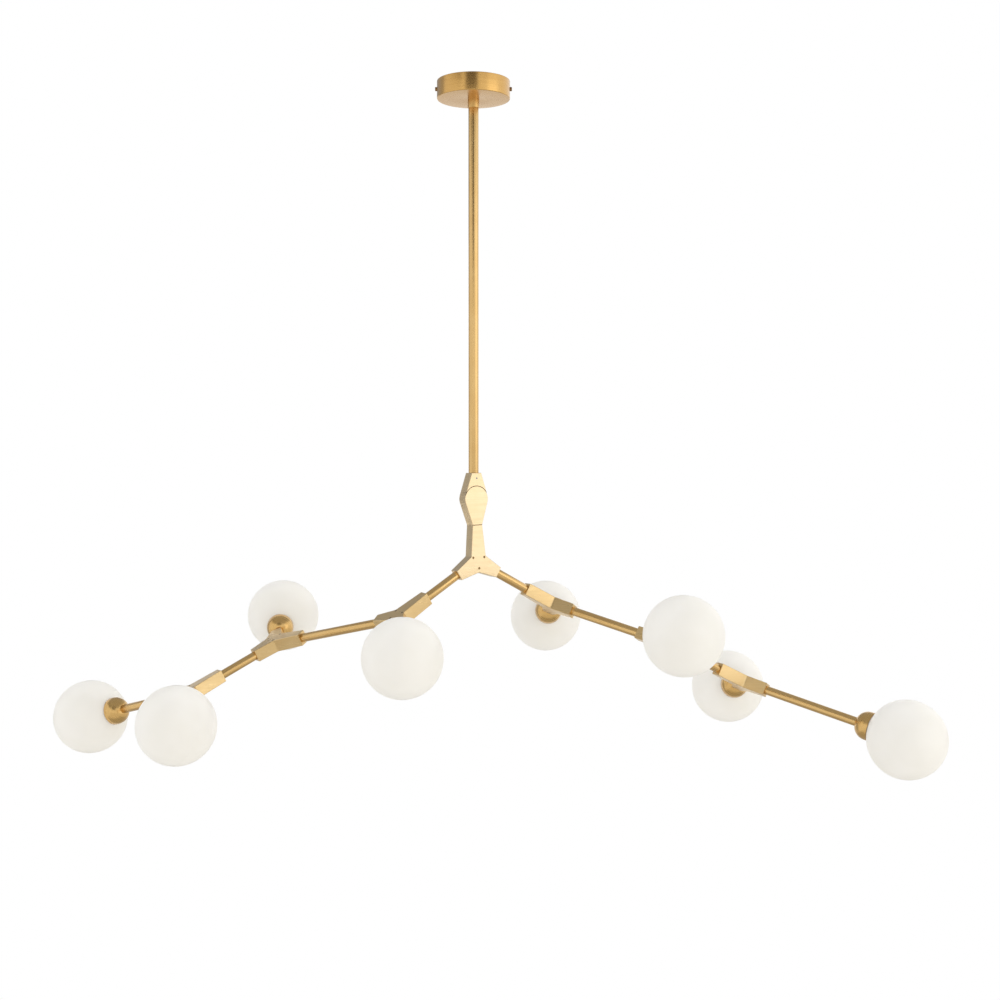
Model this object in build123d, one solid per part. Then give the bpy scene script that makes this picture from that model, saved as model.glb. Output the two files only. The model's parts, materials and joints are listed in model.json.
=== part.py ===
from build123d import *
import os
from math import acos, atan2, cos, degrees, hypot, radians, sin, sqrt

os.makedirs("parts", exist_ok=True)

# Driving dimensions, in millimetres and degrees

# Ceiling bracket and the terminal block under it
bracket_width = 22.0
bracket_sheet = 2.0
bracket_tab_drop = 18.0
ceiling_hole_spacing = 80.0
ceiling_slot_width = 5.0
ceiling_slot_length = 12.0
terminal_length = 20.0
terminal_width = 16.0
terminal_height = 11.0
terminal_from_nut = 2.0

# Canopy and its side screws
canopy_d = 115.0
canopy_height = 28.0
canopy_wall = 1.2
canopy_edge_r = 1.0
side_screw_d = 4.0
side_screw_drop = 12.0
side_screw_head_d = 6.5
side_screw_head_length = 3.0
side_screw_past_tab = 1.5

# Threaded pipe and its nuts, the same at every joint
thread_d = 10.0
wire_bore_d = 7.0
nut_flats = 13.0
nut_thick = 4.0
thread_past_nut = 3.0

# Rod, and the collar that it turns in
rod_d = 16.0
rod_wall = 1.5
rod_length = 585.0
rod_plug_length = 6.0
rod_foot_length = 15.0
collar_wall = 1.0
collar_top = 3.0
collar_height = 14.0
flange_d = 12.0
flange_thick = 3.0

# Swivel knuckle, made of two lapped halves
knuckle_length = 41.0
knuckle_head_r = 20.5
knuckle_socket_depth = 12.0
pivot_d = 8.0
pivot_head_d = 12.0
pivot_head_height = 4.0
pivot_socket_flats = 4.0
pivot_socket_depth = 2.0
pivot_thread_depth = 7.0
set_screw_d = 3.0
set_screw_from_end = 8.5
set_screw_sunk = 0.5
set_screw_socket_flats = 1.5
set_screw_socket_depth = 1.5

# Y block: one long stem and two arms, 120 degrees apart
stem_length = 57.0
arm_length = 41.0
block_thick = 20.0
block_end_width = 17.0
crotch_by_stem = 15.0
crotch_of_arms = 18.0
crotch_fillet_r = 4.0
block_edge = 0.6
end_wall = 10.0
side_wall = 1.5
cover_thick = 2.3
cover_screw_r = 11.5
cover_screw_d = 2.5
cover_screw_head_d = 4.0
cover_screw_sink = 1.2
cover_screw_length = 9.0
cover_screw_slot = 0.6

# Tubes, each from the arm that holds it to the next piece
tube_d = 14.0
short_tube = 62.0
left_long_tube = 152.0
right_long_tube = 122.0
left_end_tube = 113.5
right_end_tube = 152.0
globe_stub = 14.5

# Globe, its dome cap and its lamp
globe_d = 120.0
glass_wall = 2.0
neck_d = 38.8
neck_wall = 2.0
neck_inset = 9.5
cap_d = 44.0
cap_height = 24.0
cap_rim_height = 5.0
cap_wall = 1.5
cap_top_d = 15.0
cap_floor = 4.0
lampholder_d = 22.0
lampholder_height = 24.0
lampholder_edge = 1.0
bulb_d = 16.0
bulb_length = 40.0
bulb_round = 6.0

# How the light hangs in the photograph
arm_angle = 60.0
face_turn = 30.0
hub_lean = 2.4
left_twists = (85.0, 6.7, 2.5)
right_twists = (-89.5, 2.5, 0.5)

# Clearances
running_gap = 0.05
loose_gap = 0.1
seam_gap = 0.2
knuckle_gap = 0.4
neck_gap = 0.4
seat_gap = 0.5
tab_gap = 0.4

# Sizes that follow from the ones above
thread_r = thread_d / 2
canopy_r = canopy_d / 2
canopy_inner_r = canopy_r - canopy_wall
tab_x = sqrt(canopy_inner_r**2 - (bracket_width / 2) ** 2) - tab_gap
rod_r = rod_d / 2
rod_bore_r = rod_r - rod_wall
rod_top_z = -(canopy_height + collar_top + seam_gap)
rod_end_z = rod_top_z - rod_length
pivot_z = rod_end_z - knuckle_length
half_thick = block_thick / 2
channel_half = block_end_width / 2 - side_wall
cover_z = half_thick - cover_thick
globe_r = globe_d / 2
cap_r = cap_d / 2
cap_bore_r = neck_d / 2 + neck_gap
neck_end_z = cap_height - neck_inset
globe_z = cap_height + sqrt(globe_r**2 - cap_bore_r**2) + seat_gap
dome_height = cap_height - cap_rim_height
dome_reach = cap_r - cap_top_d / 2
dome_r = (dome_reach**2 + dome_height**2) / (2 * dome_reach)


def rod_between(radius, low, high):
    """A round bar along Z from low to high."""
    low, high = sorted((low, high))
    return Pos(0, 0, low) * Cylinder(radius, high - low, align=(Align.CENTER, Align.CENTER, Align.MIN))


def box_between(low, high):
    """A box between two opposite corners."""
    lows = [min(a, b) for a, b in zip(low, high)]
    highs = [max(a, b) for a, b in zip(low, high)]
    size = [b - a for a, b in zip(lows, highs)]
    return Pos(*lows) * Box(*size, align=(Align.MIN, Align.MIN, Align.MIN))


def polar(radius, angle):
    """A point in the XY plane."""
    return Vector(radius * cos(radians(angle)), radius * sin(radians(angle)))


def hexagon(flats, low, high):
    """A six-sided bar along Z, measured across its flats."""
    outline = RegularPolygon(flats / 2, 6, major_radius=False)
    return Pos(0, 0, low) * extrude(outline, high - low)


def hexagon_nut(low):
    """A nut on the threaded pipe, with its lower face at low."""
    return hexagon(nut_flats, low, low + nut_thick) - rod_between(thread_r, low - 1, low + nut_thick + 1)


def round_nut(low):
    """A round nut, so that a block can turn about it."""
    high = low + nut_thick
    return rod_between(nut_flats / 2, low, high) - rod_between(thread_r, low - 1, high + 1)


def threaded_pipe(low, high):
    """A length of pipe along Z, bored for the wires."""
    return rod_between(thread_r, low, high) - rod_between(wire_bore_d / 2, low - 1, high + 1)


def save(name, *shapes, frame=Plane.XY):
    """Writes one named piece, made in its own frame and put in place."""
    solids = [solid.moved(frame.location) for shape in shapes for solid in shape.solids()]
    for solid in solids:
        solid.label = name
    whole = solids[0] if len(solids) == 1 else Compound(label=name, children=solids)
    export_step(whole, f"parts/{name}.step")


# Ceiling mount: bracket, canopy, terminal block, pipe and collar


def mounting_bracket():
    """A flat bar with slots for the ceiling screws and a tab down at each end."""
    bar = box_between((-tab_x, -bracket_width / 2, -bracket_sheet), (tab_x, bracket_width / 2, 0))
    slot = extrude(SlotOverall(ceiling_slot_length, ceiling_slot_width), 2 * bracket_sheet, both=True)
    for side in (-1, 1):
        inner = (side * (tab_x - bracket_sheet), -bracket_width / 2, -bracket_tab_drop)
        bar = bar + box_between(inner, (side * tab_x, bracket_width / 2, 0))
        bar = bar - Pos(side * ceiling_hole_spacing / 2, 0, 0) * slot
    bar = bar - rod_between(thread_r, -2 * bracket_sheet, bracket_sheet)
    return bar - side_screw_place(1) * rod_between(side_screw_d / 2, -canopy_r, canopy_r)


def side_screw_place(side):
    """A place whose Z runs out through the canopy's side, at the screws' height."""
    return Pos(0, 0, -side_screw_drop) * Rot(0, 90 * side, 0)


def canopy():
    """A shallow cup with its open edge at the ceiling."""
    cup = rod_between(canopy_r, -canopy_height, 0)
    cup = fillet(cup.edges().filter_by(GeomType.CIRCLE).sort_by(Axis.Z)[0], canopy_edge_r)
    cup = cup - rod_between(canopy_inner_r, -canopy_height + canopy_wall, 1)
    cup = cup - rod_between(thread_r + loose_gap, -canopy_height - 1, 0)
    return cup - side_screw_place(1) * rod_between(side_screw_d / 2 + loose_gap, -2 * canopy_r, 2 * canopy_r)


def side_screw():
    """A screw along Z, through the canopy's wall into the bracket's tab."""
    head_low = canopy_r
    head = rod_between(side_screw_head_d / 2, head_low, head_low + side_screw_head_length)
    head = chamfer(head.edges().sort_by(Axis.Z)[-1], block_edge)
    return head + rod_between(side_screw_d / 2, tab_x - bracket_sheet - side_screw_past_tab, head_low)


def terminal_block():
    """The block where the house wires end, under the bracket and beside its nut."""
    start = nut_flats / 2 + terminal_from_nut
    low = -bracket_sheet - terminal_height
    return box_between((start, -terminal_width / 2, low), (start + terminal_length, terminal_width / 2, -bracket_sheet))


def threaded_nipple():
    """The pipe that carries the rod: from the bracket to a flange inside the rod's top."""
    flange_top = rod_top_z - rod_plug_length - seam_gap
    flange_low = flange_top - flange_thick
    return threaded_pipe(flange_low, 0) + (
        rod_between(flange_d / 2, flange_low, flange_top) - rod_between(thread_r, flange_low - 1, 0)
    )


def rod_collar():
    """The ring under the canopy that the rod's top turns in."""
    low = -canopy_height - collar_height
    ring = rod_between(rod_r + running_gap + collar_wall, low, -canopy_height)
    ring = ring - rod_between(rod_r + running_gap, low - 1, -canopy_height - collar_top)
    return ring - rod_between(thread_r, low, 0)


# Rod


def downrod():
    """The tube, closed at its foot by a shoulder and a threaded end for the knuckle."""
    tube = rod_between(rod_r, rod_end_z, rod_top_z)
    tube = tube - rod_between(rod_bore_r, rod_end_z + rod_foot_length, rod_top_z + 1)
    tube = tube + rod_between(thread_r, rod_end_z - knuckle_socket_depth, rod_end_z)
    return tube - rod_between(wire_bore_d / 2, rod_end_z - knuckle_socket_depth - 1, rod_top_z)


def rod_plug():
    """The ring fixed in the rod's top, which hangs on the flange."""
    low = rod_top_z - rod_plug_length
    return rod_between(rod_bore_r, low, rod_top_z) - rod_between(thread_r + running_gap, low - 1, 0)


# Knuckle, in a frame whose origin is the pivot, with X along the half's tail and Z towards the front


def knuckle_half():
    """Half of the knuckle: its head fills the upper layer, and the lower layer is cut round."""
    half = block_end_width / 2
    reach = hypot(knuckle_length, half)
    touch = polar(knuckle_head_r, degrees(atan2(half, knuckle_length) + acos(knuckle_head_r / reach)))
    tail = Polygon(
        (touch.X, touch.Y), (touch.X, -touch.Y), (knuckle_length, -half), (knuckle_length, half), align=None
    )
    solid = extrude(Circle(knuckle_head_r) + tail, half_thick, both=True)
    rims = [face.outer_wire().edges() for face in (solid.faces().sort_by(Axis.Z)[0], solid.faces().sort_by(Axis.Z)[-1])]
    solid = chamfer([edge for rim in rims for edge in rim], block_edge)
    solid = solid - rod_between(knuckle_head_r + knuckle_gap, -block_thick, seam_gap / 2)
    socket = Pos(knuckle_length, 0, 0) * Rot(0, 90, 0) * rod_between(thread_r, -knuckle_socket_depth, 1)
    return solid - socket


def swivel_lower():
    """The lower half carries the pivot bolt's blind thread."""
    return knuckle_half() - rod_between(pivot_d / 2, -1, seam_gap / 2 + pivot_thread_depth)


def swivel_upper():
    """The same casting turned over, bored for the bolt and tapped for the set screw."""
    solid = Rot(0, 180, 0) * knuckle_half()
    solid = solid - rod_between(pivot_d / 2 + running_gap, -block_thick, block_thick)
    solid = solid - rod_between(pivot_head_d / 2 + loose_gap, -block_thick, -half_thick + pivot_head_height + loose_gap)
    return solid - set_screw_place() * rod_between(set_screw_d / 2, 0, block_thick)


def set_screw_place():
    """The set screw's axis, near the end that holds the rod."""
    return Pos(-(knuckle_length - set_screw_from_end), 0, 0)


def pivot_bolt():
    """Goes in from the back: head in the upper half, thread in the lower half."""
    back = -half_thick
    bolt = rod_between(pivot_head_d / 2, back, back + pivot_head_height)
    bolt = bolt + rod_between(pivot_d / 2, back, seam_gap / 2 + pivot_thread_depth)
    return bolt - hexagon(pivot_socket_flats, back, back + pivot_socket_depth)


def set_screw():
    """A headless screw that presses on the rod's threaded end."""
    top = half_thick - set_screw_sunk
    screw = rod_between(set_screw_d / 2, thread_r, top)
    return screw - hexagon(set_screw_socket_flats, top - set_screw_socket_depth, top)


# Y block, in a frame whose X runs from its stem to its centre, with Z towards its cover


def block_ends():
    """Angle and length of the stem and of the two arms."""
    return ((180.0, stem_length), (-arm_angle, arm_length), (arm_angle, arm_length))


def block_outline():
    """A three-armed star, each arm narrowing from the crotches to its square end."""
    half = block_end_width / 2
    points = []
    for angle, length in block_ends():
        along, across = polar(1, angle), polar(1, angle + 90)
        crotch = crotch_of_arms if angle == -arm_angle else crotch_by_stem
        points += [along * length - across * half, along * length + across * half]
        points.append(polar(crotch, angle + 60))
    star = Polygon(*[(point.X, point.Y) for point in points], align=None)
    longest = max(crotch_of_arms, crotch_by_stem) + block_edge
    inner = [corner for corner in star.vertices() if hypot(corner.X, corner.Y) < longest]
    return fillet(inner, crotch_fillet_r)


def screw_places():
    """Three screws, one by each crotch."""
    return [Pos(*polar(cover_screw_r, angle)) for angle in (0, 120, 240)]


def block_body(stem_gap):
    """A tray with channels for the wires, and a bored wall at each of its three ends."""
    body = Pos(0, 0, -half_thick) * extrude(block_outline(), cover_z + half_thick)
    body = chamfer(body.faces().sort_by(Axis.Z)[0].edges(), block_edge)
    for angle, length in block_ends():
        gap = stem_gap if angle == 180.0 else 0.0
        channel = box_between((0, -channel_half, -cover_z), (length - end_wall, channel_half, block_thick))
        body = body - Rot(0, 0, angle) * (channel + Rot(0, 90, 0) * rod_between(thread_r + gap, 0, length + 1))
    for place in screw_places():
        body = body - place * rod_between(cover_screw_d / 2, half_thick - cover_screw_length, block_thick)
    return body


def block_cover():
    """The plate over the channels."""
    plate = Pos(0, 0, cover_z) * extrude(block_outline(), cover_thick)
    plate = chamfer(plate.faces().sort_by(Axis.Z)[-1].edges(), block_edge)
    for place in screw_places():
        plate = plate - place * cover_screw_blank()
    return plate


def cover_screw_blank():
    """The countersunk screw before its slot is cut."""
    head_low = half_thick - cover_screw_sink
    head = Cone(
        cover_screw_d / 2, cover_screw_head_d / 2, cover_screw_sink, align=(Align.CENTER, Align.CENTER, Align.MIN)
    )
    return Pos(0, 0, head_low) * head + rod_between(cover_screw_d / 2, half_thick - cover_screw_length, head_low)


def cover_screws():
    """The three screws of one cover."""
    slot = Pos(0, 0, half_thick) * Box(2 * cover_screw_head_d, cover_screw_slot, cover_screw_sink)
    return [place * (cover_screw_blank() - slot) for place in screw_places()]


# Tubes, in a frame whose Z runs out along an arm from the block's centre


def tube_set(length, wall, gap):
    """Sleeve, threaded pipe and its nuts; wall is the far piece's, and gap is left where that piece turns."""
    sleeve = rod_between(tube_d / 2, arm_length, arm_length + length)
    sleeve = sleeve - rod_between(thread_r + loose_gap, 0, arm_length + length + 1)
    near = arm_length - end_wall - nut_thick
    far = arm_length + length + gap + wall + gap
    far_nut = round_nut(far) if gap else hexagon_nut(far)
    pipe = threaded_pipe(near - thread_past_nut, far + nut_thick + thread_past_nut)
    return [sleeve, pipe, hexagon_nut(near), far_nut]


def stem_pipe():
    """The pipe that joins the hub's stem to the knuckle, with its nut."""
    low = stem_length - end_wall - nut_thick
    return [threaded_pipe(low - thread_past_nut, stem_length + knuckle_socket_depth), hexagon_nut(low)]


# Globe, cap and lamp, in a frame whose Z runs from the cap's top to the globe


def cap():
    """A turned dome: flat top, round flank, straight rim."""
    centre_x = cap_r - dome_r
    top_r = cap_top_d / 2
    half_way = polar(dome_r, degrees(atan2(-dome_height, top_r - centre_x)) / 2)
    flank = ThreePointArc(
        (top_r, 0), (centre_x + half_way.X, dome_height + half_way.Y), (cap_r, dome_height)
    )
    outline = make_face(
        [Line((0, 0), (top_r, 0)), flank, Polyline((cap_r, dome_height), (cap_r, cap_height), (0, cap_height), (0, 0))]
    )
    solid = revolve(Plane.XZ * outline, Axis.Z)
    inner_r = dome_r - cap_wall
    hollow = Pos(0, 0, dome_height) * revolved_ring(centre_x, inner_r)
    hollow = hollow & rod_between(cap_r, cap_floor, neck_end_z)
    solid = solid - hollow - rod_between(cap_bore_r, neck_end_z - seat_gap, cap_height + 1)
    return solid - rod_between(thread_r, -1, cap_height)


def revolved_ring(centre_x, radius):
    """The round solid inside an arc of this radius that turns about Z, with the arc's centre off the axis."""
    top = sqrt(radius**2 - centre_x**2)
    side = ThreePointArc((0, -top), (centre_x + radius * cos(radians(45)), -radius * sin(radians(45))), (centre_x + radius, 0))
    outline = make_face([side, Polyline((centre_x + radius, 0), (0, 0), (0, -top))])
    return revolve(Plane.XZ * outline, Axis.Z)


def glass_globe():
    """A hollow ball with a short open neck that goes up into the cap."""
    ball = Pos(0, 0, globe_z) * Sphere(globe_r)
    skin = ball + rod_between(neck_d / 2, neck_end_z, globe_z)
    inside = Pos(0, 0, globe_z) * Sphere(globe_r - glass_wall)
    return skin - inside - rod_between(neck_d / 2 - neck_wall, neck_end_z - 1, globe_z)


def lamp():
    """The lampholder on the pipe's end, and the small bulb in it."""
    base = cap_floor + nut_thick
    seat = base + lampholder_height
    holder = rod_between(lampholder_d / 2, base, seat)
    holder = chamfer(holder.edges().filter_by(GeomType.CIRCLE), lampholder_edge)
    holder = holder - rod_between(thread_r, base - 1, base + thread_past_nut)
    bulb = rod_between(bulb_d / 2, seat, seat + bulb_length)
    bulb = fillet(bulb.edges().filter_by(GeomType.CIRCLE).sort_by(Axis.Z)[-1], bulb_round)
    return [holder, bulb]


# Frames: where each piece stands in the whole light


def arm_frame(block, angle):
    """A frame at a block's centre with Z along one of its arms."""
    direction = block.x_dir.rotate(Axis(block.origin, block.z_dir), angle)
    return Plane(origin=block.origin, x_dir=block.z_dir, z_dir=direction)


def next_block(block, angle, length, twist):
    """The block on the far end of a tube, turned about that tube."""
    arm = arm_frame(block, angle)
    origin = arm.origin + arm.z_dir * (arm_length + length + seam_gap + stem_length)
    cover_side = block.z_dir.rotate(Axis(origin, arm.z_dir), twist)
    return Plane(origin=origin, x_dir=arm.z_dir, z_dir=cover_side)


def cap_frame(block, angle, length):
    """A frame at the top of a cap, with Z towards its globe."""
    arm = arm_frame(block, angle)
    return Plane(origin=arm.origin + arm.z_dir * (arm_length + length), x_dir=arm.x_dir, z_dir=arm.z_dir)


face_dir = polar(1, face_turn - 90)
pivot = Vector(0, 0, pivot_z)
upper_frame = Plane(origin=pivot, x_dir=(0, 0, -1), z_dir=face_dir)
hang_dir = Vector(0, 0, -1).rotate(Axis(pivot, face_dir), hub_lean)
lower_frame = Plane(origin=pivot, x_dir=hang_dir, z_dir=face_dir)
hub_frame = Plane(origin=pivot + hang_dir * (knuckle_length + stem_length), x_dir=hang_dir, z_dir=face_dir)

# Each wing zigzags: one arm of a block leads on, to alternate sides, and the other arm bears a globe
wings = {
    "left": (-arm_angle, left_twists, (short_tube, left_long_tube, short_tube, left_end_tube)),
    "right": (arm_angle, right_twists, (short_tube, right_long_tube, short_tube, right_end_tube)),
}
places = ("inner", "middle", "outer")


def wing_layout():
    """For each block of the wings: its name, frame, angles of the leading and globe arms, and tube length."""
    rows = []
    for wing, (angle, twists, tubes) in wings.items():
        frame, turn = hub_frame, angle
        for number, place in enumerate(places):
            frame = next_block(frame, turn, tubes[number], twists[number])
            turn = arm_angle if number % 2 else -arm_angle
            rows.append((f"{wing}_{place}", frame, turn, -turn, tubes[number + 1]))
    return rows


def placed(shapes, frame):
    """Shapes made in a frame of their own, put in place."""
    return [shape.moved(frame.location) for shape in shapes]


def save_light(name, frame):
    """One cap, one globe and one lamp."""
    save(f"{name}_cap", cap(), frame=frame)
    save(f"{name}_globe", glass_globe(), frame=frame)
    save(f"{name}_lamp", *lamp(), frame=frame)


save("mounting_bracket", mounting_bracket())
save("canopy", canopy())
save("canopy_side_screws", *[side_screw_place(side) * side_screw() for side in (-1, 1)])
save("terminal_block", terminal_block())
save("threaded_nipple", threaded_nipple())
save("nipple_lock_nut", hexagon_nut(-bracket_sheet - nut_thick))
save("rod_collar", rod_collar())
save("downrod", downrod(), rod_plug())
save("swivel_upper", swivel_upper(), frame=upper_frame)
save("swivel_set_screw", set_screw_place() * set_screw(), frame=upper_frame)
save("swivel_lower", swivel_lower(), frame=lower_frame)
save("swivel_pivot_bolt", pivot_bolt(), frame=lower_frame)
save("hub_block", block_body(0), frame=hub_frame)
save("hub_cover", block_cover(), *cover_screws(), frame=hub_frame)
save("hub_stem_pipe", *stem_pipe(), frame=arm_frame(hub_frame, 180))
for wing, (angle, twists, tubes) in wings.items():
    save(f"hub_{wing}_tube", *tube_set(tubes[0], end_wall, seam_gap), frame=arm_frame(hub_frame, angle))

for name, frame, lead, globe_side, tube in wing_layout():
    last = name.endswith(places[-1])
    far_wall = cap_floor if last else end_wall
    save(f"{name}_block", block_body(running_gap), frame=frame)
    save(f"{name}_cover", block_cover(), *cover_screws(), frame=frame)
    onward = placed(tube_set(tube, far_wall, 0 if last else seam_gap), arm_frame(frame, lead))
    stub = placed(tube_set(globe_stub, cap_floor, 0), arm_frame(frame, globe_side))
    save(f"{name}_tube", *onward, *stub)
    save_light(name, cap_frame(frame, globe_side, globe_stub))
    if last:
        save_light(name.replace(places[-1], "end"), cap_frame(frame, lead, tube))
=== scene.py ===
"""Branching ceiling light on a rod: brushed brass castings and tubes, opal glass globes. Metres, +Z up."""
import json
import math

import bmesh
import bpy
import numpy as np
from mathutils import Matrix

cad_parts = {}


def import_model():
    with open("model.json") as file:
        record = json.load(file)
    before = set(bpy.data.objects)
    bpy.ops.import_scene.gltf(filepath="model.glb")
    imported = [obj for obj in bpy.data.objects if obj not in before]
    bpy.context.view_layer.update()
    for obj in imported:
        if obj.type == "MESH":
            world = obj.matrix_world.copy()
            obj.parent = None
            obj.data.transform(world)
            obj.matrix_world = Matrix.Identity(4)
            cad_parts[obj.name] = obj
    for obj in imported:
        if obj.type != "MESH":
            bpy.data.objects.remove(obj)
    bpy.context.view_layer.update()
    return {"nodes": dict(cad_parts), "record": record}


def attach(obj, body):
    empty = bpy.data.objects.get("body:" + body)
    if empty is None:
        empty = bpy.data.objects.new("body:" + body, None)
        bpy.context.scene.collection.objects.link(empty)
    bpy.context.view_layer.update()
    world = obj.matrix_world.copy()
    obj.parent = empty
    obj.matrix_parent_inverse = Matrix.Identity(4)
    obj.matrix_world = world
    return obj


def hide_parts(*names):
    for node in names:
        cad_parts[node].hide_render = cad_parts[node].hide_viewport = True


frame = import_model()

MM = 0.001

# Sizes, the same as the part's, in millimetres
rod_r, rod_top_z, rod_end_z = 8.0, -31.2, -616.2
rod_wall, rod_plug_length, rod_foot_length, rod_spigot_length = 1.5, 6.0, 15.0, 12.0
pivot_z = -657.2
knuckle_length, stem_length, arm_length = 41.0, 57.0, 41.0
seam_gap, running_gap, loose_gap, seat_gap = 0.2, 0.05, 0.1, 0.5
tube_r, thread_r, wire_r = 7.0, 5.0, 3.5
face_turn, hub_lean, arm_angle = 30.0, 2.4, 60.0
globe_r, glass_wall, neck_r, neck_wall, neck_end = 60.0, 2.0, 19.4, 2.0, 14.5
cap_r, cap_height, cap_rim, cap_wall = 22.0, 24.0, 5.0, 1.5
cap_top_r, cap_floor, cap_bore_r = 7.5, 4.0, 19.8
globe_z = cap_height + math.sqrt(globe_r**2 - cap_bore_r**2) + seat_gap
stub = 14.5
thread_pitch, thread_depth = 1.5, 0.5
nut_flats, nut_thick, nut_corner_cut, past_nut, end_wall = 13.0, 4.0, 1.12, 3.0, 10.0
screw_circle_r, screw_head_r = 11.5, 2.0
knuckle_head_r, knuckle_gap, block_thick, block_edge = 20.5, 0.4, 20.0, 0.6
canopy_r, canopy_height, canopy_wall = 57.5, 28.0, 1.2
collar_r, collar_bore, collar_top, collar_height = 9.05, 8.05, 3.0, 14.0
# Each wing: the angle of its tube at the hub, the turn of its three blocks, and the length of its four tubes
wings = {
    "left": (-arm_angle, (85.0, 6.7, 2.5), (62.0, 152.0, 62.0, 113.5)),
    "right": (arm_angle, (-89.5, 2.5, 0.5), (62.0, 122.0, 62.0, 152.0)),
}


# Directions and frames


def unit(v):
    """The vector divided by its length."""
    v = np.asarray(v, float)
    return v / np.linalg.norm(v)


def turned(v, axis, degrees):
    """The vector turned about an axis by the right-hand rule (Rodrigues' formula)."""
    a, t = unit(axis), math.radians(degrees)
    return v * math.cos(t) + np.cross(a, v) * math.sin(t) + a * (a @ v) * (1 - math.cos(t))


def place(origin, x, z):
    """A frame: origin in mm, and its X, Y and Z directions as rows."""
    x, z = unit(x), unit(z)
    return np.asarray(origin, float), np.stack([x, np.cross(z, x), z])


def world(points, at):
    """Points given in a frame, in millimetres, moved to the light's own frame, in metres."""
    origin, axes = at
    return (origin + points @ axes) * MM


def along_arm(block, angle, start=0.0):
    """The frame of an arm: Z out along it from the block's centre, X towards the cover."""
    origin, axes = block
    d = turned(axes[0], axes[2], angle)
    return place(origin + d * start, axes[2], d)


def next_block(block, angle, length, twist):
    """The block at the far end of a tube, turned about that tube."""
    origin, axes = block
    d = turned(axes[0], axes[2], angle)
    reach = arm_length + length + seam_gap + stem_length
    return place(origin + d * reach, d, turned(axes[2], d, twist))


face_dir = np.array([math.sin(math.radians(face_turn)), -math.cos(math.radians(face_turn)), 0.0])
down = np.array([0.0, 0.0, -1.0])
hang = turned(down, face_dir, hub_lean)
pivot = np.array([0.0, 0.0, pivot_z])
hub = place(pivot + hang * (knuckle_length + stem_length), hang, face_dir)


def layout():
    """Blocks, tubes, side stubs and caps with their frames, in the order hub, left wing, right wing."""
    blocks, tubes, stubs, caps = {"hub": hub}, {}, {}, {}
    for wing, (angle, twists, lengths) in wings.items():
        at, turn = hub, angle
        tubes[f"hub_{wing}"] = (along_arm(hub, angle), lengths[0])
        for number, name in enumerate(("inner", "middle", "outer")):
            at = next_block(at, turn, lengths[number], twists[number])
            turn = arm_angle if number % 2 else -arm_angle
            blocks[f"{wing}_{name}"] = at
            tubes[f"{wing}_{name}"] = (along_arm(at, turn), lengths[number + 1])
            stubs[f"{wing}_{name}"] = along_arm(at, -turn)
            caps[f"{wing}_{name}"] = along_arm(at, -turn, arm_length + stub)
        caps[f"{wing}_end"] = along_arm(at, turn, arm_length + lengths[3])
    return blocks, tubes, stubs, caps


blocks, tubes, stubs, caps = layout()


# Surfaces


def lathe(profile, segments=96, ring=False, shape=None):
    """A turned surface: each point of the profile, a radius and a height, goes round Z in equal steps of angle.
    The profile starts and ends on the axis, where it closes in a pole; a ring has a closed profile instead.
    Shape, a radius for each step of angle, gives a bar that isn't round: a point then stands at the smaller of
    its own radius and that. Each point's pattern place is its X, its Y and its length along the profile."""
    profile = np.asarray(profile, float)
    angle = np.arange(segments) * 2 * math.pi / segments
    r = np.repeat(profile[:, :1], segments, 1)
    if shape is not None:
        r = np.minimum(r, shape(angle)[None])
    z = np.repeat(profile[:, 1:], segments, 1)
    points = np.stack([r * np.cos(angle), r * np.sin(angle), z], -1)
    length = np.r_[0, np.cumsum(np.hypot(*np.diff(profile, axis=0).T))]
    pattern = np.concatenate([points[..., :2], np.repeat(length[:, None, None], segments, 1)], -1)
    index = np.arange(points[..., 0].size).reshape(points.shape[:2])
    if not ring:
        index[[0, -1]] = index[[0, -1], :1]
    low, high = (index, np.roll(index, -1, 0)) if ring else (index[:-1], index[1:])
    faces = np.stack([low, np.roll(low, -1, 1), np.roll(high, -1, 1), high], -1).reshape(-1, 4)
    return points.reshape(-1, 3), faces.tolist(), pattern.reshape(-1, 3)


def polar(radius, angle):
    """A point in a plane, by its distance and its angle in degrees."""
    return radius * np.array([math.cos(math.radians(angle)), math.sin(math.radians(angle))])


def arc(centre, radius, start, end, steps):
    """Points on a circle from one angle to another, in degrees."""
    t = np.radians(np.linspace(start, end, steps))
    return np.stack([centre[0] + radius * np.cos(t), centre[1] + radius * np.sin(t)], -1)


def softened(corners, radii, steps=4, closed=True):
    """A polygon with each corner replaced by an arc tangent to its two sides; radius 0 leaves it sharp.
    The arc's points lie on the chord between its two ends, pushed out from its centre to the radius."""
    p = np.asarray(corners, float)
    radii = np.broadcast_to(np.asarray(radii, float), len(p))
    out = []
    for i, (corner, radius) in enumerate(zip(p, radii)):
        if radius == 0 or (not closed and i in (0, len(p) - 1)):
            out.append(corner[None])
            continue
        a, b = unit(p[i - 1] - corner), unit(p[(i + 1) % len(p)] - corner)
        half = math.acos(np.clip(a @ b, -1, 1)) / 2
        reach = radius / math.tan(half)
        centre = corner + unit(a + b) * radius / math.sin(half)
        t = np.linspace(0, 1, steps + 1)[:, None]
        chord = (corner + a * reach) * (1 - t) + (corner + b * reach) * t - centre
        out.append(centre + chord / np.linalg.norm(chord, axis=1, keepdims=True) * radius)
    return np.concatenate(out)


def tube(outer, inner, low, high, edge=0.2, segments=64, shape=None):
    """A ring of material between two radii and two heights, its four edges rounded a little."""
    corners = [(inner, low), (outer, low), (outer, high), (inner, high)]
    return lathe(softened(corners, edge, 3), segments, ring=True, shape=shape)


def six_sided(flats):
    """The radius of a hexagon at each angle: half the width across flats, over the cosine from the nearest flat."""
    return lambda angle: flats / 2 / np.cos((angle + math.pi / 6) % (math.pi / 3) - math.pi / 6)


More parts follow.
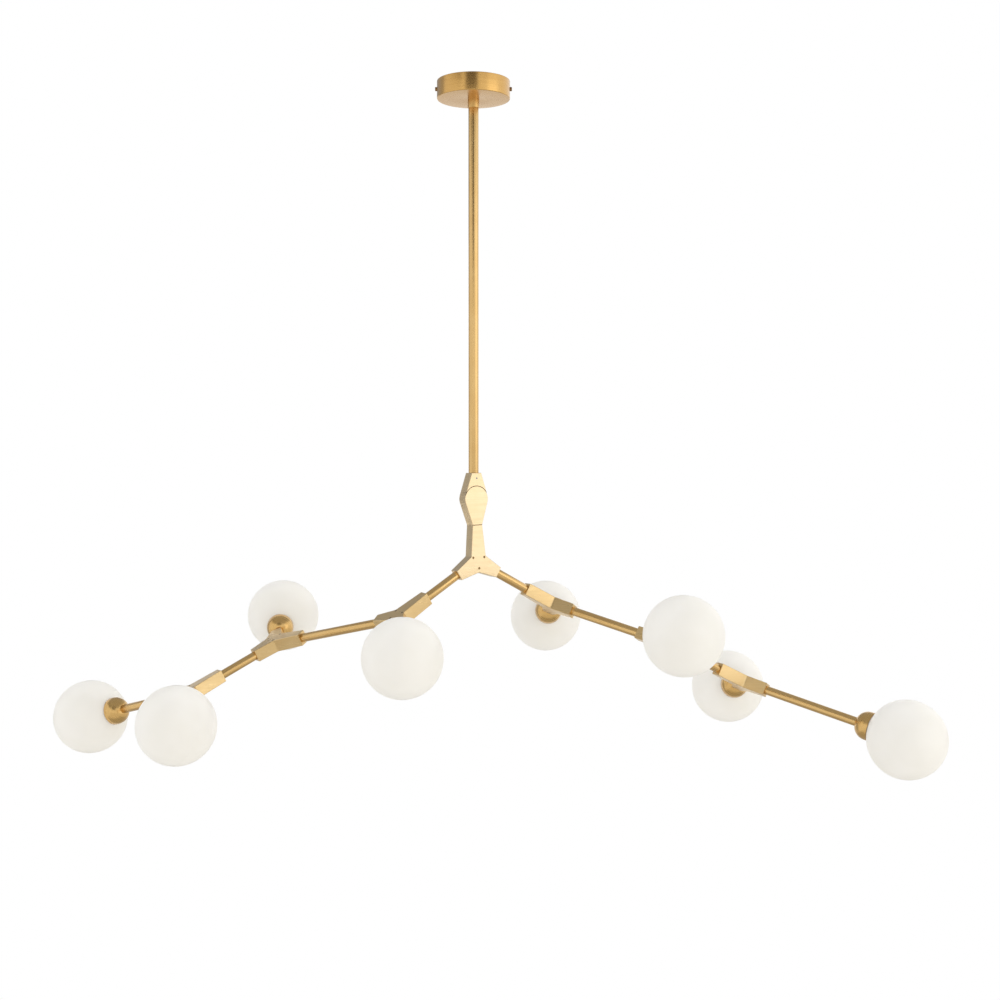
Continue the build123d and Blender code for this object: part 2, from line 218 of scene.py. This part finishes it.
def nut(low, round_one=False):
    """A nut on the threaded pipe; the hexagon's corners are cut by a circle, as a chamfer does."""
    radius = nut_flats / 2 if round_one else nut_flats / 2 * nut_corner_cut
    outline = None if round_one else six_sided(nut_flats)
    return tube(radius, thread_r, low, low + nut_thick, 0.3, 72, outline)


def threaded_pipe(low, high):
    """The pipe's thread as rings of V section, about a pitch apart, round a bore that is open for the wires."""
    half_turns = 2 * int((high - low) / thread_pitch)
    step = np.arange(half_turns + 1)
    z = low + (high - low) * step / half_turns
    crest = np.stack([np.where(step % 2, thread_r, thread_r - thread_depth), z], -1)
    bore = np.array([(wire_r, high), (wire_r, low)])
    return lathe(np.concatenate([crest, bore]), 32, ring=True)


def given_in(part, source, target):
    """A part made in one frame, given in another, with its pattern left as it was."""
    return (source[0] + part[0] @ source[1] - target[0]) @ target[1].T, part[1], part[2]


def piece(name, parts, at, finish, node, angle=35):
    """A mesh that stands for one CAD node: its parts end to end, placed, shaded smooth up to an angle."""
    starts = np.cumsum([0] + [len(points) for points, _, _ in parts])
    points = np.concatenate([points for points, _, _ in parts])
    faces = [
        tuple(dict.fromkeys(i + int(start) for i in face))
        for start, (_, part, _) in zip(starts, parts) for face in part
    ]
    mesh = bpy.data.meshes.new(name)
    mesh.from_pydata(world(points, at).tolist(), [], [face for face in faces if len(face) > 2])
    pattern = mesh.attributes.new("pattern", "FLOAT_VECTOR", "POINT")
    pattern.data.foreach_set("vector", np.concatenate([p for _, _, p in parts]).astype(np.float32).ravel())
    work = bmesh.new()
    work.from_mesh(mesh)
    bmesh.ops.delete(work, geom=[v for v in work.verts if not v.link_faces], context="VERTS")
    bmesh.ops.remove_doubles(work, verts=work.verts, dist=1e-7)
    bmesh.ops.recalc_face_normals(work, faces=work.faces)
    work.to_mesh(mesh)
    work.free()
    mesh.shade_smooth()
    mesh.set_sharp_from_angle(angle=math.radians(angle))
    mesh.materials.append(finish)
    obj = bpy.data.objects.new(name, mesh)
    bpy.context.scene.collection.objects.link(obj)
    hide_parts(node)
    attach(obj, body_with[node])
    return obj


body_with = {n: b for b, members in frame["record"]["behaviour"]["bodies"].items() for n in members}
slot_with = {row["node"]: row["material_slot"] for row in frame["record"]["subparts"]}


# Materials


def linear(code):
    """An sRGB hex colour as linear RGBA."""
    c = np.array([int(code[i:i + 2], 16) for i in (0, 2, 4)]) / 255
    return (*np.where(c <= 0.04045, c / 12.92, ((c + 0.055) / 1.055) ** 2.4).tolist(), 1.0)


def add(tree, kind, settings=(), links=()):
    """Adds a node of this kind, with its settings by property or socket, and links sockets to what feeds them."""
    made = tree.nodes.new("ShaderNode" + kind)
    for key, value in dict(settings).items():
        if isinstance(key, int) or key in made.inputs:
            made.inputs[key].default_value = value
        else:
            setattr(made, key, value)
    for key, source in dict(links).items():
        tree.links.new(source, made.inputs[key])
    return made


def emptied_tree(owner):
    """The node tree of a material or a world, with nothing in it yet."""
    owner.use_nodes = True
    owner.node_tree.nodes.clear()
    return owner.node_tree


def finish_named(name, settings):
    """A new material: its Principled shader with these values, and the output it feeds."""
    made = bpy.data.materials.new(name)
    tree = emptied_tree(made)
    shader = add(tree, "BsdfPrincipled", settings)
    add(tree, "OutputMaterial", links={0: shader.outputs[0]})
    return made, tree, shader


def noise(tree, where, scale, detail=2.0, stretch=(1, 1, 1)):
    """Noise between 0 and 1 at a place, with this many waves to a unit of it, times a stretch on each axis."""
    place_at = add(tree, "Mapping", {"Scale": [scale * s for s in stretch]}, {"Vector": where})
    settings = {"Scale": 1.0, "Detail": detail, "Roughness": 0.55}
    return add(tree, "TexNoise", settings, {"Vector": place_at.outputs[0]}).outputs[0]


def spread(tree, value, low, high, middle=0.18):
    """The noise's usual range round one half, stretched to go from low to high."""
    settings = {"From Min": 0.5 - middle, "From Max": 0.5 + middle, "To Min": low, "To Max": high}
    return add(tree, "MapRange", settings, {"Value": value}).outputs[0]


def two_tones(tree, factor, first, second):
    """A colour between two, by a factor."""
    made = add(tree, "Mix", {"data_type": "RGBA"})
    tree.links.new(factor, made.inputs[0])
    made.inputs[6].default_value, made.inputs[7].default_value = linear(first), linear(second)
    return made.outputs[2]


# Sizes of the patterns in millimetres, and the opal glass's cloud in waves to a metre
brass_cloud, line_depth, glass_grain, glass_cloud_waves = 40.0, 0.01, 1.0, 14


def brushed(name, light, dark, roughness, line, along=None):
    """Brass brushed with a fine abrasive and lacquered: a warm satin sheen that spreads each reflection, with
    parallel lines and a slow cloudy change of tone. The lacquer adds a little white to the bright side. Real lines
    are 0.1 mm apart; they are drawn at the given spacing in millimetres, as coarse as it takes to show. They run
    along a turned piece or round it, and level on a casting."""
    made, tree, shader = finish_named(name, {"Metallic": 1.0, "Coat Weight": 0.7, "Coat Roughness": 0.3})
    place_at = add(tree, "TexCoord").outputs["Object"]
    if along is None:
        lines = noise(tree, place_at, 1000 / line, 2, (0.05, 0.05, 1))
    else:
        lines_at = add(tree, "Attribute", {"attribute_name": "pattern"}).outputs["Vector"]
        lines = noise(tree, lines_at, 1 / line, 2, (1, 1, 0.01) if along else (0.03, 0.03, 1))
    cloud = noise(tree, place_at, 1000 / brass_cloud, 2)
    halves = {0: spread(tree, lines, 0, 1, 0.3), 2: spread(tree, cloud, 0, 0.5)}
    tone = add(tree, "Math", {"operation": "MULTIPLY_ADD", 1: 0.5}, halves)
    tree.links.new(two_tones(tree, tone.outputs[0], light, dark), shader.inputs["Base Color"])
    tree.links.new(spread(tree, lines, roughness - 0.03, roughness + 0.03), shader.inputs["Roughness"])
    bump = add(tree, "Bump", {"Strength": 0.1, "Distance": line_depth * MM}, {"Height": lines})
    tree.links.new(bump.outputs[0], shader.inputs["Normal"])
    return made


def grained(name, settings, first, second, roughness, size):
    """A finish with a fine even grain of this size in millimetres, in its tone and its roughness."""
    made, tree, shader = finish_named(name, settings)
    place_at = add(tree, "TexCoord").outputs["Object"]
    grain = noise(tree, place_at, 1000 / size, 2)
    tree.links.new(two_tones(tree, spread(tree, grain, 0, 1), first, second), shader.inputs["Base Color"])
    tree.links.new(spread(tree, grain, roughness - 0.04, roughness + 0.04), shader.inputs["Roughness"])
    return made


def opal_glass():
    """Opal glass, blown and etched to a satin: white right through, so light spreads in it, with the faint cloud
    of the blown wall and no sharp highlight."""
    made, tree, shader = finish_named("opal_glass_etched", {
        "IOR": 1.5, "Subsurface Weight": 0.3, "Subsurface Radius": (1.0, 0.95, 0.85), "Subsurface Scale": 0.01,
    })
    place_at = add(tree, "TexCoord").outputs["Object"]
    cloud = noise(tree, place_at, glass_cloud_waves, 2)
    tree.links.new(two_tones(tree, spread(tree, cloud, 0, 1), "F7F4EE", "F3F0E8"), shader.inputs["Base Color"])
    tree.links.new(spread(tree, noise(tree, place_at, 1000 / glass_grain, 2), 0.42, 0.5), shader.inputs["Roughness"])
    return made


# Cast brass, milled and brushed level: each flat face has one even tone, and the next face another
brass_cast = brushed("brass_cast_brushed", "ECCE96", "E2C084", 0.30, 2.0)
# The same brass on the hub and the knuckle as a paler copy, almost cream: painted sheen that stands for the window's
# reflection in them
painted_sheen_brass = brushed("brass_cast_with_painted_sheen", "ECD5AC", "E5CA9C", 0.30, 2.0)
# Drawn brass tube, brushed along: one long narrow highlight
brass_rod = brushed("brass_drawn_brushed", "E6C07E", "DDB36E", 0.26, 1.5, along=True)
# Turned brass, brushed round: the light draws out into a soft arc on each cap
brass_turned = brushed("brass_turned_brushed", "E4BC76", "DBB068", 0.28, 1.5, along=False)
# Spun brass, brushed round: bright and brown bands down the cup's side
brass_canopy = brushed("brass_spun_brushed", "E0B266", "D3A254", 0.26, 2.0, along=False)
# The ring under the cup: the same brass, a little darker, as painted shade where the rod meets the cup
collar_shade_brass = brushed("brass_painted_collar_shade", "DBB068", "CC9E54", 0.30, 1.5, along=False)
# The cup's side screws: dull brown heads, painted shade that stands for the shadow each screw casts
side_screw_shade_brass = brushed("brass_painted_side_screw_shade", "A67C45", "8B6434", 0.36, 1.5)
# The covers' screws: small brown dots on the pale plates, painted shade of the recesses they sit in
screw_shade_brass = brushed("brass_painted_screw_shade", "8F7343", "7A5F35", 0.30, 1.5)
# Near-black brass on the faces of the knuckle's seams: painted shade, so each seam reads as a dark line
seam_shade_brass = brushed("brass_painted_seam_shade", "4F3B1C", "3B2B12", 0.45, 1.5)
# Zinc-plated steel of the bracket and fixings: a cool dull grey
zinc = grained("steel_zinc_plated", {"Metallic": 1.0}, "B4B6B8", "A2A4A7", 0.34, 0.8)
# Glazed steatite of the lampholders: warm white with a soft shine
ceramic = grained("steatite_glazed", {"IOR": 1.55}, "F1EFE8", "E9E6DD", 0.25, 1.5)
# Moulded nylon of the terminal block: off-white and matt
nylon = grained("nylon_moulded", {"IOR": 1.53}, "E2E1DC", "D9D8D2", 0.5, 0.5)
opal = opal_glass()

finish_of_slot = {
    "brushed_brass": brass_cast, "dark_brass": side_screw_shade_brass, "zinc_steel": zinc, "opal_glass": opal,
    "lampholder_white": ceramic, "terminal_white": nylon,
}
for cad_node, slot in slot_with.items():
    mesh = frame["nodes"][cad_node].data
    mesh.materials.clear()
    # The hub and the knuckle take the paler copy, painted sheen of the window's reflection
    pale = cad_node in ("swivel_upper", "swivel_lower", "hub_block", "hub_cover")
    mesh.materials.append(painted_sheen_brass if pale else finish_of_slot[slot])


def finish_faces(node, block, finish, chosen):
    """Gives some faces of a casting another finish: the test gets their centres in the block's frame."""
    shape, turn = frame["nodes"][node].data, np.array(frame["nodes"][node].matrix_world)
    centres = np.empty(len(shape.polygons) * 3, np.float32)
    shape.polygons.foreach_get("center", centres)
    there = ((centres.reshape(-1, 3) @ turn[:3, :3].T + turn[:3, 3]) / MM - block[0]) @ block[1].T
    shape.materials.append(finish)
    shape.polygons.foreach_set("material_index", chosen(there).astype(np.int32))


def on_screws(there):
    """Faces of the cover's three screws: their centres lie within the heads, measured from the screws' axes."""
    axes = np.array([polar(screw_circle_r, angle) for angle in (0, 120, 240)])
    return np.linalg.norm(there[:, None, :2] - axes, axis=-1).min(1) < screw_head_r - loose_gap


def in_seam_shade(there):
    """Faces in the knuckle's seams, by how near their centres are: the round cut beside each head, the edge of the
    head where the other half's tail borders it, and the narrow end at the hub."""
    near_cut, near_edge, near_end = 0.15, 0.25, 0.1
    x, z = there[:, 0] + knuckle_length + stem_length, there[:, 2]
    across = np.hypot(x, there[:, 1])
    cut = np.abs(across - knuckle_head_r - knuckle_gap) < near_cut
    edge = np.abs(across - knuckle_head_r + block_edge / 2) < near_edge
    at_face = np.abs(z) > block_thick / 2 - block_edge
    by_tail = x * z < -3 * block_thick
    end = there[:, 0] > -stem_length - block_edge - near_end
    return cut | edge & at_face & by_tail | end


# The covers' screw heads get painted shade of their recesses
for name, at in blocks.items():
    finish_faces(f"{name}_cover", at, screw_shade_brass, on_screws)
# The knuckle's seam faces get painted shade, near-black in place of the shadow in each seam
for name in ("swivel_lower", "swivel_upper"):
    finish_faces(name, hub, seam_shade_brass, in_seam_shade)


# Turned pieces: canopy, collar, rod, tubes, caps and globes


def globe():
    """A blown ball on a short neck. The profile goes down the inside of the wall from the far pole, round the
    neck's lip, and back up the outside."""
    inside, neck_inside = globe_r - glass_wall, neck_r - neck_wall
    inner = arc((0, globe_z), inside, 90, -math.degrees(math.acos(neck_inside / inside)), 64)
    lip = arc((neck_r - neck_wall / 2, neck_end + neck_wall / 2), neck_wall / 2, 180, 360, 9)
    outer = arc((0, globe_z), globe_r, -math.degrees(math.acos(neck_r / globe_r)), 90, 64)
    profile = np.concatenate([inner, lip, outer])
    profile[[0, -1], 0] = 0
    return lathe(profile, 128)


def dome():
    """A turned cap: flat top, a flank that is one arc tangent to the straight rim, and a wall of even thickness.
    The arc's radius is (reach squared plus height squared) over twice the reach."""
    reach, height = cap_r - cap_top_r, cap_height - cap_rim
    flank_r = (reach**2 + height**2) / (2 * reach)
    centre = (cap_r - flank_r, height)
    top = softened([(thread_r, 0), (cap_top_r, 0), centre + polar(flank_r, -60)], [0, 0.8, 0], 3, closed=False)
    start = -math.degrees(math.atan2(height, cap_top_r - centre[0]))
    flank = arc(centre, flank_r, start + 3, 0, 40)
    corners = [(cap_r, height), (cap_r, cap_height), (cap_bore_r, cap_height), (cap_bore_r, neck_end)]
    rim = softened(corners, [0, 0.4, 0.4, 0], 4, closed=False)
    inner_r = flank_r - cap_wall
    low, high = (-math.degrees(math.asin((height - z) / inner_r)) for z in (neck_end - 0.5, cap_floor))
    hollow = arc(centre, inner_r, low, high, 20)
    profile = np.concatenate([top[:-1], flank, rim[1:-1], hollow, [(thread_r, cap_floor)]])
    return lathe(profile, 96, ring=True)


def tube_set(length, wall, gap):
    """Sleeve, threaded pipe and its two nuts along an arm. Where there is a gap the far piece turns on the pipe,
    and its nut is round."""
    near = arm_length - end_wall - nut_thick
    far = arm_length + length + gap + wall + gap
    sleeve = tube(tube_r, thread_r + loose_gap, arm_length, arm_length + length, 0.25, 64)
    pipe = threaded_pipe(near - past_nut, far + nut_thick + past_nut)
    return [sleeve, pipe, nut(near), nut(far, gap > 0)]


def rod():
    """The down rod: a tube with a solid foot and a threaded spigot, and the plug ring in its top."""
    bore_r, spigot_z, foot_z = rod_r - rod_wall, rod_end_z - rod_spigot_length, rod_end_z + rod_foot_length
    corners = [
        (wire_r, spigot_z), (thread_r, spigot_z), (thread_r, rod_end_z), (rod_r, rod_end_z),
        (rod_r, rod_top_z), (bore_r, rod_top_z), (bore_r, foot_z), (wire_r, foot_z),
    ]
    tube_wall = lathe(softened(corners, [0.3, 0.3, 0, 0.3, 0.3, 0.3, 0, 0], 3), 96, ring=True)
    plug = tube(bore_r, thread_r + running_gap, rod_top_z - rod_plug_length, rod_top_z, 0.2, 48)
    return [tube_wall, plug]


def canopy():
    """A spun cup with its open edge at the ceiling and a hole for the pipe in its floor."""
    low, inner, hole_r = -canopy_height, canopy_r - canopy_wall, thread_r + loose_gap
    corners = [
        (hole_r, low), (canopy_r, low), (canopy_r, 0), (inner, 0), (inner, low + canopy_wall),
        (hole_r, low + canopy_wall),
    ]
    return [lathe(softened(corners, [0.2, 1.2, 0.4, 0.4, 0.5, 0.2], 6), 192, ring=True)]


def collar():
    """The ring that the rod's top turns in."""
    low, high = -canopy_height - collar_height, -canopy_height
    corners = [
        (collar_bore, low), (collar_r, low), (collar_r, high), (thread_r, high), (thread_r, high - collar_top),
        (collar_bore, high - collar_top),
    ]
    return [lathe(softened(corners, [0.2, 0.4, 0, 0, 0, 0], 3), 96, ring=True)]


upright = place((0, 0, 0), (1, 0, 0), (0, 0, 1))
piece("ceiling_cup", canopy(), upright, brass_canopy, "canopy")
piece("rod_ring", collar(), upright, collar_shade_brass, "rod_collar")
piece("hanging_rod", rod(), upright, brass_rod, "downrod")
for name, (at, length) in tubes.items():
    last = name.endswith("outer")
    parts = tube_set(length, cap_floor if last else end_wall, 0 if last else seam_gap)
    if name in stubs:
        parts += [given_in(part, stubs[name], at) for part in tube_set(stub, cap_floor, 0)]
    piece(f"{name}_pipework", parts, at, brass_rod, f"{name}_tube")
for name, at in caps.items():
    piece(f"{name}_dome", [dome()], at, brass_turned, f"{name}_cap")
    piece(f"{name}_glass", [globe()], at, opal, f"{name}_globe")


# Studio: floor, light and camera


def ray_is(tree, *kinds):
    """One for rays of these kinds, as Light Path names them, and zero for the rest."""
    path = add(tree, "LightPath")
    total = path.outputs[kinds[0]]
    for kind in kinds[1:]:
        total = add(tree, "Math", {"operation": "MAXIMUM"}, {0: total, 1: path.outputs[kind]}).outputs[0]
    return total


def rectangle(x, y, z):
    """The corners of a level or upright rectangle: two of X, Y and Z are ranges, and the third is one value."""
    first, second = (axis for axis, span in enumerate((x, y, z)) if isinstance(span, tuple))
    corners = np.array([[np.ravel(span)[0] for span in (x, y, z)]] * 4, float)
    corners[1:3, first], corners[2:, second] = (x, y, z)[first][1], (x, y, z)[second][1]
    return corners.tolist()


def panel(name, where, colour, in_brass, on_glass):
    """A flat studio card. The camera sees it white. The brass reflects it at one strength, and it lights the glass
    at another."""
    mesh = bpy.data.meshes.new(name)
    mesh.from_pydata(rectangle(*where), [], [(0, 1, 2, 3)])
    made = bpy.data.materials.new(name)
    tree = emptied_tree(made)
    white = add(tree, "Emission", {"Strength": 1.0})
    card = add(tree, "Emission", {"Color": linear(colour)})
    diffuse = ray_is(tree, "Is Diffuse Ray")
    strength = add(tree, "MapRange", {"To Min": in_brass, "To Max": on_glass}, {"Value": diffuse})
    tree.links.new(strength.outputs[0], card.inputs["Strength"])
    seen = ray_is(tree, "Is Camera Ray", "Is Transmission Ray")
    blend = add(tree, "MixShader", links={0: seen, 1: card.outputs[0], 2: white.outputs[0]})
    add(tree, "OutputMaterial", links={0: blend.outputs[0]})
    mesh.materials.append(made)
    obj = bpy.data.objects.new(name, mesh)
    bpy.context.scene.collection.objects.link(obj)


def softbox(name, at, aim, size, power):
    """A square lamp at one point that faces another."""
    light = bpy.data.lights.new(name, "AREA")
    light.shape, light.size, light.energy = "SQUARE", size, power
    obj = bpy.data.objects.new(name, light)
    bpy.context.scene.collection.objects.link(obj)
    z = unit(np.subtract(at, aim))
    x = unit(np.cross((0, 0, 1), z))
    turn = np.eye(4)
    turn[:3, :3], turn[:3, 3] = np.stack([x, np.cross(z, x), z], 1), at
    obj.matrix_world = Matrix(turn.tolist())


# Where each card stands, in metres, its colour, and its strength in the brass and on the glass
cards = {
    "floor": (((-20, 20), (-20, 20), -3.6), "F4F1EB", 0.82, 1.3),
    "floor_under": (((-3, 3), (-1.5, 4), -3.58), "F4F1EB", 0.5, 1.3),
    "left_wall": ((-4, (1, 4.5), (-3.6, 3)), "FFFFFF", 0.42, 1.5),
    "left_window": ((-4, (-5, 1), (-3.6, 1.8)), "FFFFFF", 0.9, 1.5),
    "left_upper": ((-4, (-5, 1), (1.8, 3)), "FFF3DC", 0.25, 1.4),
    "back_card": (((-6, 1), 4.5, (0.6, 3)), "FFFFFF", 0.35, 1.3),
    "camera_card": (((-2.2, 1.2), -5, (0.6, 3)), "FFF3DC", 0.1, 1.4),
    "ceiling_card": (((-6, 5), (-6, 6), 3), "FFFFFF", 0.42, 1.3),
}

# The camera: its place in metres, how far it looks down in degrees, and its focal length in the picture's pixels
camera_at, camera_down = (0.0417, -2.3077, (pivot_z + 23.6) * MM), 0.63
focal_length, picture_width, film_width = 1461.14, 1000, 36.0


def studio():
    """A pale floor and pale walls, a large soft window on the right, and the camera before the light."""
    room = bpy.data.worlds.new("room")
    bpy.context.scene.world = room
    tree = emptied_tree(room)
    walls = add(tree, "Background", {"Color": linear("F6F4EF"), "Strength": 1.45})
    white = add(tree, "Background", {"Color": (1, 1, 1, 1), "Strength": 1.0})
    seen = ray_is(tree, "Is Camera Ray", "Is Glossy Ray", "Is Transmission Ray")
    blend = add(tree, "MixShader", links={0: seen, 1: walls.outputs[0], 2: white.outputs[0]})
    add(tree, "OutputWorld", links={0: blend.outputs[0]})

    for name, card in cards.items():
        panel(name, *card)
    softbox("window_right", (3.6, -1.8, -0.3), (0, 0, -0.8), 2.6, 12)

    view = bpy.data.cameras.new("camera")
    view.sensor_width, view.clip_end = film_width, 100
    view.lens = film_width * focal_length / picture_width
    camera = bpy.data.objects.new("camera", view)
    bpy.context.scene.collection.objects.link(camera)
    camera.location = camera_at
    camera.rotation_euler = (math.radians(90 - camera_down), 0, 0)
    bpy.context.scene.camera = camera
    bpy.context.scene.view_settings.view_transform = "Standard"


studio()
